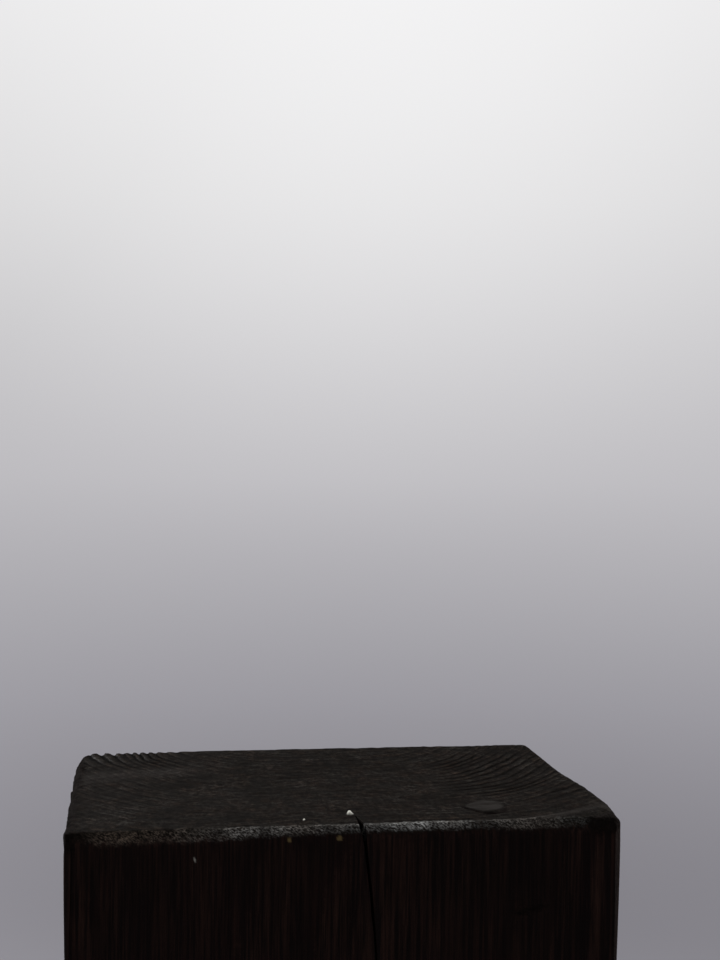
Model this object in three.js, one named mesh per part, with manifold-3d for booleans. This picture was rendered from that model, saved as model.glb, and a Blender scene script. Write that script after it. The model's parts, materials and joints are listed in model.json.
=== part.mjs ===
// Display plinth: one heavy post of black-stained sawn timber, standing on end. A steel plate is let
// into its underside and carries four levelling feet, which hold it a shadow gap above the floor.
// Millimetres, +Z up, front face towards -Y, origin on the floor under the middle of the post.
import * as THREE from 'three';
import { mergeVertices } from 'three/addons/utils/BufferGeometryUtils.js';
import Module from 'manifold-3d';

const wasm = await Module();
wasm.setup();

// ---- Driving dimensions, mm -------------------------------------------------------------------

// Post
const POST_WIDTH = 260;            // X, a sleeper section
const POST_DEPTH = 160;            // Y
const PLINTH_HEIGHT = 1000;        // floor to top face, feet wound fully in
const SHADOW_GAP = 12;             // floor to the underside of the timber
const UPRIGHT_EDGE_RADIUS = 3;     // worn upright arrises
const TOP_EDGE_WEAR = 1.5;         // bevel worn on the side and back edges of the top
const FRONT_WEAR_IN = 3.5;         // bevel of the front top edge, across the top face
const FRONT_WEAR_DOWN = 5.5;       // and down the front face
const CORNER_CHIP = { x: 18, y: 22, z: 3 };       // worn down at the front right top corner
const BACK_CHIP = { x: 5, y: 14, z: 16 };         // knocked off the back left top corner

// Recess for the base plate, in the underside
const RECESS_WALL = 12;            // timber left around the recess
const RECESS_CORNER_RADIUS = 10;
const PLATE_CLEARANCE = 0.5;       // plate edge to recess wall

// Base plate and its coach screws
const PLATE_THICKNESS = 6;
const SCREW_DIAMETER = 8;
const SCREW_LENGTH = 80;           // under the head
const SCREW_TIP_LENGTH = 10;
const SCREW_HEAD_FLATS = 13;
const SCREW_HEAD_HEIGHT = 5.5;
const SCREW_SPACING_X = 104;       // between the two screws of a row
const WASHER_DIAMETER = 16;
const WASHER_THICKNESS = 1.6;

// Levelling feet, M10
const THREAD_DIAMETER = 10;
const THREAD_PITCH = 1.5;
const FOOT_TRAVEL = 15;            // how far a foot winds out
const FOOT_INSET = 18;             // foot centre in from the plate's edges
const PAD_DIAMETER = 38;
const PAD_THICKNESS = 3;
const BASE_DIAMETER = 40;
const BASE_RIM_HEIGHT = 2.5;
const BASE_HEIGHT = 6;
const BASE_CROWN_DIAMETER = 24;
const BASE_FLOOR = 2;              // metal under the spindle's flange
const SPINDLE_FLANGE_DIAMETER = 14;
const SPINDLE_FLANGE_HEIGHT = 2;
const SPINDLE_NECK = 0.5;          // bare neck between the base and the hexagon
const SPINDLE_HEX_FLATS = 14;
const SPINDLE_HEX_HEIGHT = 7;
const SPINDLE_SPARE = 2;           // thread still above the nut when wound right out
const NUT_FLATS = 17;
const FOOT_NUT_HEIGHT = 8;
const LOCK_NUT_HEIGHT = 5;

// Fits
const RUNNING_CLEARANCE = 0.3;     // radial, between parts that turn or pass through
const HOLE_CLEARANCE = 0.5;        // radial, bolt to plate
const BORE_CLEARANCE = 1.2;        // radial, timber bores over the nuts and the spindles
const BORE_END_SPACE = 4;          // timber bore beyond the end of what it holds

const OVERCUT = 1;                 // how far a cutter stands outside the face that it cuts
const ROUND = 24;                  // facets of a full circle

// ---- Heights worked out from the stack of parts, floor upwards ----------------------------------

const baseBottom = PAD_THICKNESS;
const baseTop = baseBottom + BASE_HEIGHT;
const flangeBottom = baseBottom + BASE_FLOOR;
const flangeTop = flangeBottom + SPINDLE_FLANGE_HEIGHT;
const hexBottom = baseTop + SPINDLE_NECK;
const lockNutBottom = hexBottom + SPINDLE_HEX_HEIGHT;
const plateBottom = lockNutBottom + LOCK_NUT_HEIGHT;
const plateTop = plateBottom + PLATE_THICKNESS;
const footNutTop = plateTop + FOOT_NUT_HEIGHT;
const spindleTop = footNutTop + FOOT_TRAVEL + SPINDLE_SPARE;

// ---- Places in plan -----------------------------------------------------------------------------

const recessWidth = POST_WIDTH - 2 * RECESS_WALL;
const recessDepth = POST_DEPTH - 2 * RECESS_WALL;
const plateWidth = recessWidth - 2 * PLATE_CLEARANCE;
const plateDepth = recessDepth - 2 * PLATE_CLEARANCE;
const footX = plateWidth / 2 - FOOT_INSET;
const footY = plateDepth / 2 - FOOT_INSET;
const screwX = SCREW_SPACING_X / 2;

const CORNERS = [
  { name: 'front_left', sx: -1, sy: -1 },
  { name: 'front_right', sx: 1, sy: -1 },
  { name: 'back_left', sx: -1, sy: 1 },
  { name: 'back_right', sx: 1, sy: 1 },
];

// ---- Materials ----------------------------------------------------------------------------------

const finish = (name, color, roughness, metalness) =>
  new THREE.MeshStandardMaterial({ name, color, roughness, metalness });
const stainedTimber = () => finish('stained_timber', 0x1d1714, 0.6, 0);
const blackSteel = () => finish('black_steel', 0x1a1a1b, 0.5, 0.6);
const zincSteel = () => finish('zinc_steel', 0xa9abad, 0.35, 1);
const rubber = () => finish('rubber', 0x151515, 0.9, 0);

// ---- Solids: three.js geometry in, three.js geometry out -----------------------------------------

function solid(geometry) {
  const plain = geometry.index ? geometry.toNonIndexed() : geometry.clone();
  plain.deleteAttribute('normal');
  plain.deleteAttribute('uv');
  const merged = mergeVertices(plain, 1e-5);
  return new wasm.Manifold(new wasm.Mesh({
    numProp: 3,
    vertProperties: new Float32Array(merged.attributes.position.array),
    triVerts: new Uint32Array(merged.index.array),
  }));
}

function geometryOf(manifold) {
  const mesh = manifold.getMesh();
  const geometry = new THREE.BufferGeometry();
  geometry.setAttribute('position', new THREE.BufferAttribute(mesh.vertProperties, 3));
  geometry.setIndex(new THREE.BufferAttribute(mesh.triVerts, 1));
  return geometry;
}

// A closed shell from corner points and outward faces, each face given as a convex loop of corners
function shell(points, faces) {
  const corners = [];
  for (const face of faces) {
    for (let i = 1; i + 1 < face.length; i += 1) {
      corners.push(...points[face[0]], ...points[face[i]], ...points[face[i + 1]]);
    }
  }
  const geometry = new THREE.BufferGeometry();
  geometry.setAttribute('position', new THREE.Float32BufferAttribute(corners, 3));
  return geometry;
}

function roundedRectangle(width, depth, radius) {
  const [w, d, shape] = [width / 2, depth / 2, new THREE.Shape()];
  shape.moveTo(radius - w, -d);
  shape.lineTo(w - radius, -d);
  shape.absarc(w - radius, radius - d, radius, -Math.PI / 2, 0, false);
  shape.lineTo(w, d - radius);
  shape.absarc(w - radius, d - radius, radius, 0, Math.PI / 2, false);
  shape.lineTo(radius - w, d);
  shape.absarc(radius - w, d - radius, radius, Math.PI / 2, Math.PI, false);
  shape.lineTo(-w, radius - d);
  shape.absarc(radius - w, radius - d, radius, Math.PI, 1.5 * Math.PI, false);
  return shape;
}

function hexagon(flats) {
  const corner = flats / 2 / Math.cos(Math.PI / 6);
  const points = Array.from({ length: 6 }, (_, i) => {
    const angle = (i * Math.PI) / 3;
    return new THREE.Vector2(corner * Math.cos(angle), corner * Math.sin(angle));
  });
  return new THREE.Shape(points);
}

function hole(radius, x = 0, y = 0) {
  return new THREE.Path().absarc(x, y, radius, 0, 2 * Math.PI, true);
}

function prism(shape, bottom, top, curveSegments = 6) {
  const geometry = new THREE.ExtrudeGeometry(shape, {
    depth: top - bottom, bevelEnabled: false, curveSegments,
  });
  return geometry.translate(0, 0, bottom);
}

// A solid of revolution about Z from [radius, z] pairs that run from bottom to top on the outside
function turned(profile) {
  const points = profile.map(([radius, z]) => new THREE.Vector2(radius, z));
  return new THREE.LatheGeometry(points, ROUND).rotateX(Math.PI / 2);
}

function rod(radius, bottom, top) {
  return turned([[0, bottom], [radius, bottom], [radius, top], [0, top]]);
}

// ---- Drying checks --------------------------------------------------------------------------------

// A V-shaped split along the grain, its stations running downwards. Each gives its height z, its place
// across the face, the width between its lips, its depth and how far its root leans sideways. outward
// is the face's normal and across runs along the face, both in plan; face is its distance from the origin.
function checkCutter(stations, outward, across, face) {
  const points = [];
  for (const { z, at, width, depth, lean } of stations) {
    const lip = (width / 2) * (1 + OVERCUT / depth);
    const place = (along, out) => [
      outward.x * out + across.x * along, outward.y * out + across.y * along, z,
    ];
    points.push(place(at - lip, face + OVERCUT));
    points.push(place(at + lip, face + OVERCUT));
    points.push(place(at + lean, face - depth));
  }
  const last = 3 * (stations.length - 1);
  const faces = [[0, 1, 2], [last, last + 2, last + 1]];
  for (let i = 0; i < last; i += 3) {
    faces.push([i, i + 4, i + 1], [i, i + 3, i + 4]);
    faces.push([i + 1, i + 5, i + 2], [i + 1, i + 4, i + 5]);
    faces.push([i + 2, i + 3, i], [i + 2, i + 5, i + 3]);
  }
  return shell(points, faces);
}

// ---- The post ---------------------------------------------------------------------------------------

function timberPost() {
  const [w, d, top] = [POST_WIDTH / 2, POST_DEPTH / 2, PLINTH_HEIGHT];
  let post = solid(prism(roundedRectangle(POST_WIDTH, POST_DEPTH, UPRIGHT_EDGE_RADIUS), SHADOW_GAP, top));
  const cut = (geometry) => {
    post = post.subtract(solid(geometry));
  };

  // Worn top edges: a wedge along each edge, its section given as inset and drop
  const wedge = (inset, drop, length) => {
    const slope = drop / inset;
    const section = new THREE.Shape([
      new THREE.Vector2(-inset, OVERCUT),
      new THREE.Vector2(-inset, 0),
      new THREE.Vector2(OVERCUT, -drop - OVERCUT * slope),
      new THREE.Vector2(OVERCUT, OVERCUT),
    ]);
    // Section X points out of the face and section Y up; the prism runs along the edge
    return prism(section, -length / 2 - OVERCUT, length / 2 + OVERCUT).rotateX(Math.PI / 2);
  };
  cut(wedge(FRONT_WEAR_IN, FRONT_WEAR_DOWN, POST_WIDTH).rotateZ(-Math.PI / 2).translate(0, -d, top));
  cut(wedge(TOP_EDGE_WEAR, TOP_EDGE_WEAR, POST_WIDTH).rotateZ(Math.PI / 2).translate(0, d, top));
  cut(wedge(TOP_EDGE_WEAR, TOP_EDGE_WEAR, POST_DEPTH).translate(w, 0, top));
  cut(wedge(TOP_EDGE_WEAR, TOP_EDGE_WEAR, POST_DEPTH).rotateZ(Math.PI).translate(-w, 0, top));

  // Knocked-off corners: a tetrahedron at the corner, twice the chip's size, so that its slanting face
  // passes through the chip's three edge points
  const chip = (sx, sy, size) => {
    const [x, y] = [sx * w, sy * d];
    const reach = 2;
    const apex = [x + sx * size.x * (reach - 1), y + sy * size.y * (reach - 1), top + size.z * (reach - 1)];
    const span = 1 + 3 * (reach - 1);
    const points = [
      apex,
      [apex[0] - sx * size.x * span, apex[1], apex[2]],
      [apex[0], apex[1] - sy * size.y * span, apex[2]],
      [apex[0], apex[1], apex[2] - size.z * span],
    ];
    const faces = [[0, 1, 2], [0, 2, 3], [0, 3, 1], [1, 3, 2]];
    const turn = sx * sy > 0 ? faces : faces.map((face) => [...face].reverse());
    return shell(points, turn);
  };
  cut(chip(1, -1, CORNER_CHIP));
  cut(chip(-1, 1, BACK_CHIP));

  // Drying checks, heights measured down from the top. The main one opens at the front edge of the top
  const down = (drop) => top - drop;
  const front = { outward: new THREE.Vector2(0, -1), across: new THREE.Vector2(1, 0), face: d };
  const back = { outward: new THREE.Vector2(0, 1), across: new THREE.Vector2(-1, 0), face: d };
  const left = { outward: new THREE.Vector2(-1, 0), across: new THREE.Vector2(0, -1), face: w };
  const checks = [
    [front, [
      { z: top + OVERCUT, at: 4, width: 2, depth: 17, lean: 1 },
      { z: down(14), at: 7, width: 1.6, depth: 17, lean: 1 },
      { z: down(41), at: 10.4, width: 1.5, depth: 16, lean: 1 },
      { z: down(120), at: 15.5, width: 1.2, depth: 14, lean: 1 },
      { z: down(260), at: 20, width: 1, depth: 11, lean: 1 },
      { z: down(420), at: 23, width: 0.6, depth: 6, lean: 0 },
    ]],
    [back, [
      { z: down(70), at: -18, width: 0.6, depth: 5, lean: 0 },
      { z: down(200), at: -14, width: 2.4, depth: 13, lean: 0 },
      { z: down(380), at: -17, width: 3, depth: 15, lean: 0 },
      { z: down(560), at: -12, width: 1.8, depth: 12, lean: 0 },
      { z: down(700), at: -13, width: 0.6, depth: 5, lean: 0 },
    ]],
    [left, [
      { z: down(500), at: 22, width: 0.6, depth: 4, lean: 0 },
      { z: down(640), at: 26, width: 1.4, depth: 10, lean: 0 },
      { z: down(800), at: 23, width: 1.2, depth: 9, lean: 0 },
      { z: down(890), at: 24, width: 0.6, depth: 4, lean: 0 },
    ]],
  ];
  for (const [side, stations] of checks) {
    cut(checkCutter(stations, side.outward, side.across, side.face));
  }

  // Recess for the plate, bores for the nuts and spindle ends, pilot holes for the coach screws
  const recess = roundedRectangle(recessWidth, recessDepth, RECESS_CORNER_RADIUS);
  cut(prism(recess, SHADOW_GAP - OVERCUT, plateTop));
  const nutBore = NUT_FLATS / 2 / Math.cos(Math.PI / 6) + BORE_CLEARANCE;
  const spindleBore = THREAD_DIAMETER / 2 + BORE_CLEARANCE;
  const pilotBore = SCREW_DIAMETER / 2 + RUNNING_CLEARANCE;
  const screwTop = plateBottom - WASHER_THICKNESS + SCREW_LENGTH;
  for (const { sx, sy } of CORNERS) {
    const start = plateTop - OVERCUT;
    cut(rod(nutBore, start, footNutTop + BORE_CLEARANCE).translate(sx * footX, sy * footY, 0));
    cut(rod(spindleBore, start, spindleTop + BORE_END_SPACE).translate(sx * footX, sy * footY, 0));
    cut(rod(pilotBore, start, screwTop + BORE_END_SPACE).translate(sx * screwX, sy * footY, 0));
  }
  return geometryOf(post);
}

// ---- Base plate and fasteners ------------------------------------------------------------------------

function basePlate() {
  const shape = roundedRectangle(plateWidth, plateDepth, RECESS_CORNER_RADIUS - PLATE_CLEARANCE);
  for (const { sx, sy } of CORNERS) {
    shape.holes.push(hole(THREAD_DIAMETER / 2 + HOLE_CLEARANCE, sx * footX, sy * footY));
    shape.holes.push(hole(SCREW_DIAMETER / 2 + HOLE_CLEARANCE, sx * screwX, sy * footY));
  }
  return prism(shape, plateBottom, plateTop);
}

// Hexagon with its corners turned off at the ends, as on a real nut or bolt head
function chamferedHex(flats, bottom, top, bothEnds) {
  const inner = (flats / 2) * 0.97;
  const outer = flats / 2 / Math.cos(Math.PI / 6) + OVERCUT;
  const fall = (outer - inner) * Math.tan(Math.PI / 6);
  const upper = bothEnds ? [[outer, top - fall], [inner, top]] : [[outer, top]];
  const envelope = turned([[0, bottom], [inner, bottom], [outer, bottom + fall], ...upper, [0, top]]);
  return solid(prism(hexagon(flats), bottom - OVERCUT, top + OVERCUT)).intersect(solid(envelope));
}

function nut(height) {
  const bore = rod(THREAD_DIAMETER / 2 + RUNNING_CLEARANCE, -OVERCUT, height + OVERCUT);
  return geometryOf(chamferedHex(NUT_FLATS, 0, height, true).subtract(solid(bore)));
}

function washer() {
  const shape = new THREE.Shape().absarc(0, 0, WASHER_DIAMETER / 2, 0, 2 * Math.PI, false);
  shape.holes.push(hole(SCREW_DIAMETER / 2 + RUNNING_CLEARANCE));
  return prism(shape, 0, WASHER_THICKNESS, ROUND / 2);
}

// Origin under the head, shank upwards
function coachScrew() {
  const radius = SCREW_DIAMETER / 2;
  const shank = turned([
    [0, -SCREW_HEAD_HEIGHT / 2], [radius, -SCREW_HEAD_HEIGHT / 2],
    [radius, SCREW_LENGTH - SCREW_TIP_LENGTH], [0, SCREW_LENGTH],
  ]);
  return geometryOf(chamferedHex(SCREW_HEAD_FLATS, -SCREW_HEAD_HEIGHT, 0, false).add(solid(shank)));
}

// ---- Levelling foot ------------------------------------------------------------------------------------

// The flange turns in the base's pocket and the hexagon takes the spanner
function footSpindle() {
  const radius = THREAD_DIAMETER / 2;
  const flange = SPINDLE_FLANGE_DIAMETER / 2;
  const stem = turned([
    [0, flangeBottom], [flange, flangeBottom], [flange, flangeTop], [radius, flangeTop],
    [radius, spindleTop - THREAD_PITCH], [radius - THREAD_PITCH / 2, spindleTop], [0, spindleTop],
  ]);
  const hex = chamferedHex(SPINDLE_HEX_FLATS, hexBottom, lockNutBottom, true);
  return geometryOf(hex.add(solid(stem)));
}

// Domed disc with an undercut pocket that traps the spindle's flange
function footBase() {
  const pocket = SPINDLE_FLANGE_DIAMETER / 2 + RUNNING_CLEARANCE;
  const throat = THREAD_DIAMETER / 2 + RUNNING_CLEARANCE;
  const lip = flangeTop + RUNNING_CLEARANCE;
  return turned([
    [0, baseBottom], [BASE_DIAMETER / 2, baseBottom], [BASE_DIAMETER / 2, baseBottom + BASE_RIM_HEIGHT],
    [BASE_CROWN_DIAMETER / 2, baseTop], [throat, baseTop], [throat, lip], [pocket, lip],
    [pocket, flangeBottom], [0, flangeBottom],
  ]);
}

function footPad() {
  return rod(PAD_DIAMETER / 2, 0, PAD_THICKNESS);
}

// ---- Assembly --------------------------------------------------------------------------------------------

const plinth = new THREE.Group();

function place(name, geometry, material, x = 0, y = 0, z = 0) {
  const mesh = new THREE.Mesh(geometry, material);
  mesh.name = name;
  mesh.position.set(x, y, z);
  plinth.add(mesh);
}

place('timber_post', timberPost(), stainedTimber());
place('base_plate', basePlate(), blackSteel());

for (const { name, sx, sy } of CORNERS) {
  const [x, y] = [sx * footX, sy * footY];
  const washerBottom = plateBottom - WASHER_THICKNESS;
  place(`washer_${name}`, washer(), zincSteel(), sx * screwX, y, washerBottom);
  place(`coach_screw_${name}`, coachScrew(), zincSteel(), sx * screwX, y, washerBottom);
  place(`foot_nut_${name}`, nut(FOOT_NUT_HEIGHT), zincSteel(), x, y, plateTop);
  place(`lock_nut_${name}`, nut(LOCK_NUT_HEIGHT), zincSteel(), x, y, lockNutBottom);
  place(`foot_spindle_${name}`, footSpindle(), zincSteel(), x, y);
  place(`foot_base_${name}`, footBase(), blackSteel(), x, y);
  place(`foot_pad_${name}`, footPad(), rubber(), x, y);
}

export default plinth;
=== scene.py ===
"""Display plinth: a black-stained timber post on hidden levelling feet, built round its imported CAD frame.

Metres, +Z up, front face towards -Y. Sizes written in millimetres are multiplied by MM.
"""

import json
import math
from itertools import product
from types import SimpleNamespace

import bmesh
import bpy
import numpy as np
from mathutils import Matrix, Vector


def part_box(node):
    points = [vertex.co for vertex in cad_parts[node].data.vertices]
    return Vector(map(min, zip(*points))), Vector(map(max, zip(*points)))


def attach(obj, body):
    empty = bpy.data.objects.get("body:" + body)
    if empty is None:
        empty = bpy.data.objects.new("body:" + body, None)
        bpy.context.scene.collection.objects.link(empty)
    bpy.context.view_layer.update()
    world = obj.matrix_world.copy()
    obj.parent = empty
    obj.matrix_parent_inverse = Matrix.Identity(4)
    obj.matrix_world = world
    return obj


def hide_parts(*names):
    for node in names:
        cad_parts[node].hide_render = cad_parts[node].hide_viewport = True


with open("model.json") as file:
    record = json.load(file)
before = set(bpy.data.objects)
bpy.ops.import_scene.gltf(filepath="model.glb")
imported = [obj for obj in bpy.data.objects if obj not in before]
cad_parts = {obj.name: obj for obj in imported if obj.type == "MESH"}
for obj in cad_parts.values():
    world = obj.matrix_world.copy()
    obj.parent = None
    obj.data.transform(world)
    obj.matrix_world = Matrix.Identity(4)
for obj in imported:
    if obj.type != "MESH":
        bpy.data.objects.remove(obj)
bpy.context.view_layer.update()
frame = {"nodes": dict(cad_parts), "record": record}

MM = 0.001
DEG = math.pi / 180

# ---- Places that come from the frame ----

POST_LOW, POST_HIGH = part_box("timber_post")
HALF_W, HALF_D = POST_HIGH.x, POST_HIGH.y
TOP, UNDERSIDE = POST_HIGH.z, POST_LOW.z
PLATE_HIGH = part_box("base_plate")[1]
CORNERS = ("front_left", "front_right", "back_left", "back_right")

# ---- Driving sizes of the timber ----

STEP_X = 0.8 * MM  # mesh columns across the front
STEP_Y = 1.0 * MM  # and along the sides
PITH = Vector((5 * MM, 125 * MM))  # heart of the tree, behind the back face
RING_SPACING = 5.8 * MM
TAPER = 2.2  # rings gained per metre down the trunk
END_GROOVES = 1.5 * MM  # depth of the soft wood where the end grain is worn most
SIDE_GROOVES = 0.2 * MM  # and in the long grain

# The tables below are in millimetres. Drying checks: drop below the top, place across the face, width, depth
FRONT_CHECK = [
    (0, 5.4, 3.2, 17), (3, 5.9, 2.6, 17), (9, 6.6, 1.5, 17), (16, 7.4, 1.4, 17), (32, 9.6, 1.3, 17),
    (41, 10.4, 1.5, 16), (52, 11.6, 1.0, 16), (62, 12.4, 1.0, 15), (120, 15.5, 1.1, 14), (260, 20, 0.9, 11),
    (420, 23, 0.1, 0),
]
BACK_CHECK = [(70, 18, 0.1, 0), (200, 14, 2.4, 13), (380, 17, 3.0, 15), (560, 12, 1.8, 12), (700, 13, 0.1, 0)]
LEFT_CHECK = [(500, -22, 0.1, 0), (640, -26, 1.4, 10), (800, -23, 1.2, 9), (890, -24, 0.1, 0)]
FRONT_CHECK_END = (4.4, 20)  # where it stops on the top face: place across, distance from the front
FRONT_START, BACK_START, LEFT_START = 7, 15, -24  # first place of the mesh line that follows each check

# Small marks: place across, distance from the front or drop below the top, radius
RAW_NICKS = [(-29.0, 6.1, 1.1), (-5.5, 5.9, 1.3)]
PLASTER_SPECKS = [(2.1, 20.6, 1.4), (-23.8, 26.5, 0.5), (-20.7, 12.8, 0.55)]
FRONT_SPECKS = [(-72.1, 13.2, 0.6)]
# How far the worn front edge reaches down the front: place across, drop
FRONT_WEAR = [(-130, 5.5), (-112, 7.0), (-90, 6.6), (-60, 5.8), (-45, 5.0), (-10, 4.4), (12, 3.7), (52, 3.8),
              (80, 4.8), (130, 4.8)]
# How strongly it shows torn fibres and their painted highlights: place across, strength
FRONT_FIBRES_AND_GLINTS = [(-124, 0.05), (-108, 0.55), (-62, 0.6), (-46, 0.85), (-12, 0.9), (8, 0.9), (45, 1.0),
                (60, 0.5), (86, 0.5), (106, 0.35), (117, 0.03)]

# Larger marks, in metres
FLAKE = Vector((70.5 * MM, 28 * MM - HALF_D))  # a run of stain that dried as a raised oval
FLAKE_HALF = Vector((10.2 * MM, 12.2 * MM))  # half its size across and from front to back
FLAKE_TURN = -14 * DEG  # its long axis leans to the right, going back
GOUGE = Vector((87 * MM, 42.5 * MM))  # a dent on the front: place across, drop
GOUGE_HALF = Vector((8.5 * MM, 1.8 * MM))
GOUGE_RISE = 0.25  # how steeply it rises towards the right
LEFT_BITE = 26 * MM  # deepest place, along y, of the torn left top edge

# ---- Driving sizes of the metal and its bores ----

THREAD_RADIUS = 5 * MM
THREAD_PITCH = 1.5 * MM
THREAD_DEPTH = 0.92 * MM
THREAD_PLAY = 0.3 * MM  # between the thread and the plain hole it runs in
SCREW_RADIUS = 4 * MM
NUT_FLATS = 17 * MM
NUT_CHAMFER = 0.7 * MM
SPINDLE_FLATS = 14 * MM
FLANGE_RADIUS = 7 * MM  # of the spindle's lower end, which turns in a pocket of the base
FLANGE_THICKNESS = 2 * MM
FLANGE_EDGE = 0.3 * MM
FLANGE_PLAY = 0.3 * MM
HEXAGON_GAP = 0.5 * MM  # between the base and the spindle's hexagon
ROUND = 72  # facets of a full circle
PLATE_CLEARANCE = 0.5 * MM
RECESS_RADIUS = 10 * MM
BORE_CLEARANCE = 1.2 * MM
PILOT_CLEARANCE = 0.3 * MM
BORE_END = 4 * MM  # free depth beyond the end of a spindle or screw
BORE_ROUND = 24  # facets of a bore in the timber


# ---- Small numeric helpers ----

def smooth(value, low, high):
    """0 below low, 1 above high, an S curve between."""
    t = np.clip((value - low) / (high - low), 0, 1)
    return t * t * (3 - 2 * t)


def bump_at(value, middle, width):
    """1 at the middle, falling to 0 on both sides as a bell curve."""
    return np.exp(-((value - middle) / width) ** 2)


def lattice(cells, seed):
    """One number from 0 to 1 for each whole-numbered cell."""
    x, y, z = (cells[:, i].astype(np.uint32) for i in range(3))
    with np.errstate(over="ignore"):
        mixed = x * np.uint32(73856093) ^ y * np.uint32(19349663) ^ z * np.uint32(83492791)
        mixed = (mixed ^ np.uint32(seed * 7919 + 17)) * np.uint32(2654435761)
        mixed = (mixed ^ (mixed >> np.uint32(15))) * np.uint32(2246822519)
        mixed = mixed ^ (mixed >> np.uint32(13))
    return (mixed & np.uint32(0xFFFF)) / 65535.0


def noise(points, size, seed, octaves=1):
    """Smooth noise from -1 to 1 with cells of the given size, which may differ along x, y and z."""
    total, strength, reach = np.zeros(len(points)), 1.0, 0.0
    scaled = points / np.asarray(size, float)
    for octave in range(octaves):
        p = scaled * 2 ** octave + 11.3 * octave
        cell = np.floor(p).astype(np.int64)
        f = p - cell
        f = f * f * (3 - 2 * f)
        value = np.zeros(len(points))
        for corner in product((0, 1), repeat=3):
            weight = np.prod(np.where(corner, f, 1 - f), axis=1)
            value += weight * lattice(cell + np.array(corner), seed + octave)
        total += strength * (2 * value - 1)
        reach += strength
        strength *= 0.5
    return total / reach


def along(stations, drop):
    """Place, width and depth of a check at each drop below the top, in metres."""
    table = np.array(stations, float) * MM
    return [np.interp(drop, table[:, 0], table[:, column]) for column in (1, 2, 3)]


def turns_of(count):
    """Angles of the corners of a full circle."""
    return np.arange(count) * 2 * math.pi / count


def rings_of(profile, x, y, count=ROUND):
    """Circles about an upright axis at x, y for each (radius, z) of a profile."""
    turns = turns_of(count)
    return [[(x + r * c, y + r * s, z) for c, s in zip(np.cos(turns), np.sin(turns))] for r, z in profile]


def axis_of(node):
    """Place in plan of a CAD node's upright axis."""
    low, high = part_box(node)
    return (low.x + high.x) / 2, (low.y + high.y) / 2


def place_object(name, data):
    """A new object in the scene."""
    made = bpy.data.objects.new(name, data)
    bpy.context.scene.collection.objects.link(made)
    return made


# ---- The tree: growth rings through the whole post ----

def ring_number(points):
    """Growth ring count at each point, a continuous number. Ring surfaces are wavy cones about the pith."""
    x, y, z = points.T
    drop = TOP - z
    # The pith wanders down the trunk, and the rings lie further forward on the left
    dx = x - PITH.x - 5 * MM * np.sin(drop / 0.21) - 2 * MM * np.sin(drop / 0.063 + 1)
    left_shift = 27 * MM * smooth(-dx, 0, 90 * MM)
    dy = y - PITH.y + left_shift - 4 * MM * np.sin(drop / 0.17 + 0.3) - 1.5 * MM * np.sin(drop / 0.051)
    angle = np.arctan2(dy, dx)
    radius = np.hypot(dx, dy)
    lobes = 0.045 * np.sin(2 * angle + 0.9) + 0.022 * np.sin(3 * angle) + 0.01 * np.sin(7 * angle)
    radius = radius * (1 + lobes)
    # Wider rings at the far left, then unevenness of a few rings' size
    radius = radius - 0.15 * np.maximum(radius - 120 * MM, 0) * smooth(-dx, 60 * MM, 110 * MM)
    radius = radius + 2.4 * MM * noise(points, (0.034, 0.034, 0.21), 3)
    radius = radius + 0.8 * MM * noise(points, (0.012, 0.012, 0.09), 5)
    return radius / RING_SPACING + 0.7 * np.sin(radius / 0.021) + 0.3 * np.sin(radius / 0.0088) + TAPER * drop


def ring_ridge(count):
    """Height of the hard latewood at each ring count, 0 to 1: a slow rise and a quicker fall."""
    f = count - np.floor(count)
    return smooth(f, 0.12, 0.6) * (1 - smooth(f, 0.86, 1.0))


def end_wear(points, count):
    """How deeply the rings stand out on the end grain, 0 to 1: most at the back left and the right."""
    x, y, _ = points.T
    back_left = smooth(-x, 58 * MM, 98 * MM) * smooth(y + 0.3 * x, 0, 32 * MM)
    left = smooth(-x, 60 * MM, 100 * MM) * smooth(y, -50 * MM, -20 * MM) * (1 - smooth(y, 4 * MM, 24 * MM))
    right = smooth(x, 48 * MM, 84 * MM) * smooth(y, -56 * MM, -26 * MM)
    right *= 1 - 0.85 * smooth(y, 44 * MM, 64 * MM)
    patchy = 0.56 + 0.44 * noise(points, 15 * MM, 45, 2)
    own = 0.6 + 0.4 * noise(np.stack([count, 0 * count, 0 * count], axis=1), 0.8, 47)
    return np.clip((0.07 + 0.26 * left + 1.05 * back_left + 0.8 * right) * patchy * own * 1.3, 0, 1)


# ---- Marks on the timber ----

def streak_line(x):
    """Distance along y of the streak behind the worn front edge, which slants back towards the right."""
    return -76 * MM + 0.36 * (x - 93 * MM)


def streak_height(x, y):
    """A smooth swell that runs along the front edge towards the right corner."""
    return 0.5 * MM * bump_at(y, streak_line(x), 3.5 * MM) * smooth(x, 72 * MM, 92 * MM)


def dry_patches(x, y):
    """Paler, smoother ground: behind the left grooves, and along the worn edge at the right, 0 to 1."""
    left = bump_at(y, 29 * MM + 0.17 * (x + 110 * MM), 9 * MM) * smooth(-x, 52 * MM, 88 * MM)
    right = bump_at(y, streak_line(x), 3.2 * MM) * smooth(x, 72 * MM, 92 * MM)
    return np.maximum(0.65 * left, right)


def flake_distance(x, y):
    """1 on the rim of the flake, 0 in its middle. It is round on the right and tapers to the left."""
    u, v = x - FLAKE.x, y - FLAKE.y
    c, s = math.cos(FLAKE_TURN), math.sin(FLAKE_TURN)
    across, back = (c * u + s * v) / FLAKE_HALF.x, (c * v - s * u) / FLAKE_HALF.y
    taper = 1 + 0.8 * smooth(-across, -0.1, 1.0)
    return (np.abs(across) ** 2.5 + np.abs(back * taper) ** 2.5) ** 0.4


def flake_near_side(x, y, reach):
    """1 in front of the flake and at its left, 0 behind it."""
    return smooth(-(0.5 * (x - FLAKE.x) + (y - FLAKE.y)), -2 * MM, reach)


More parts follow.
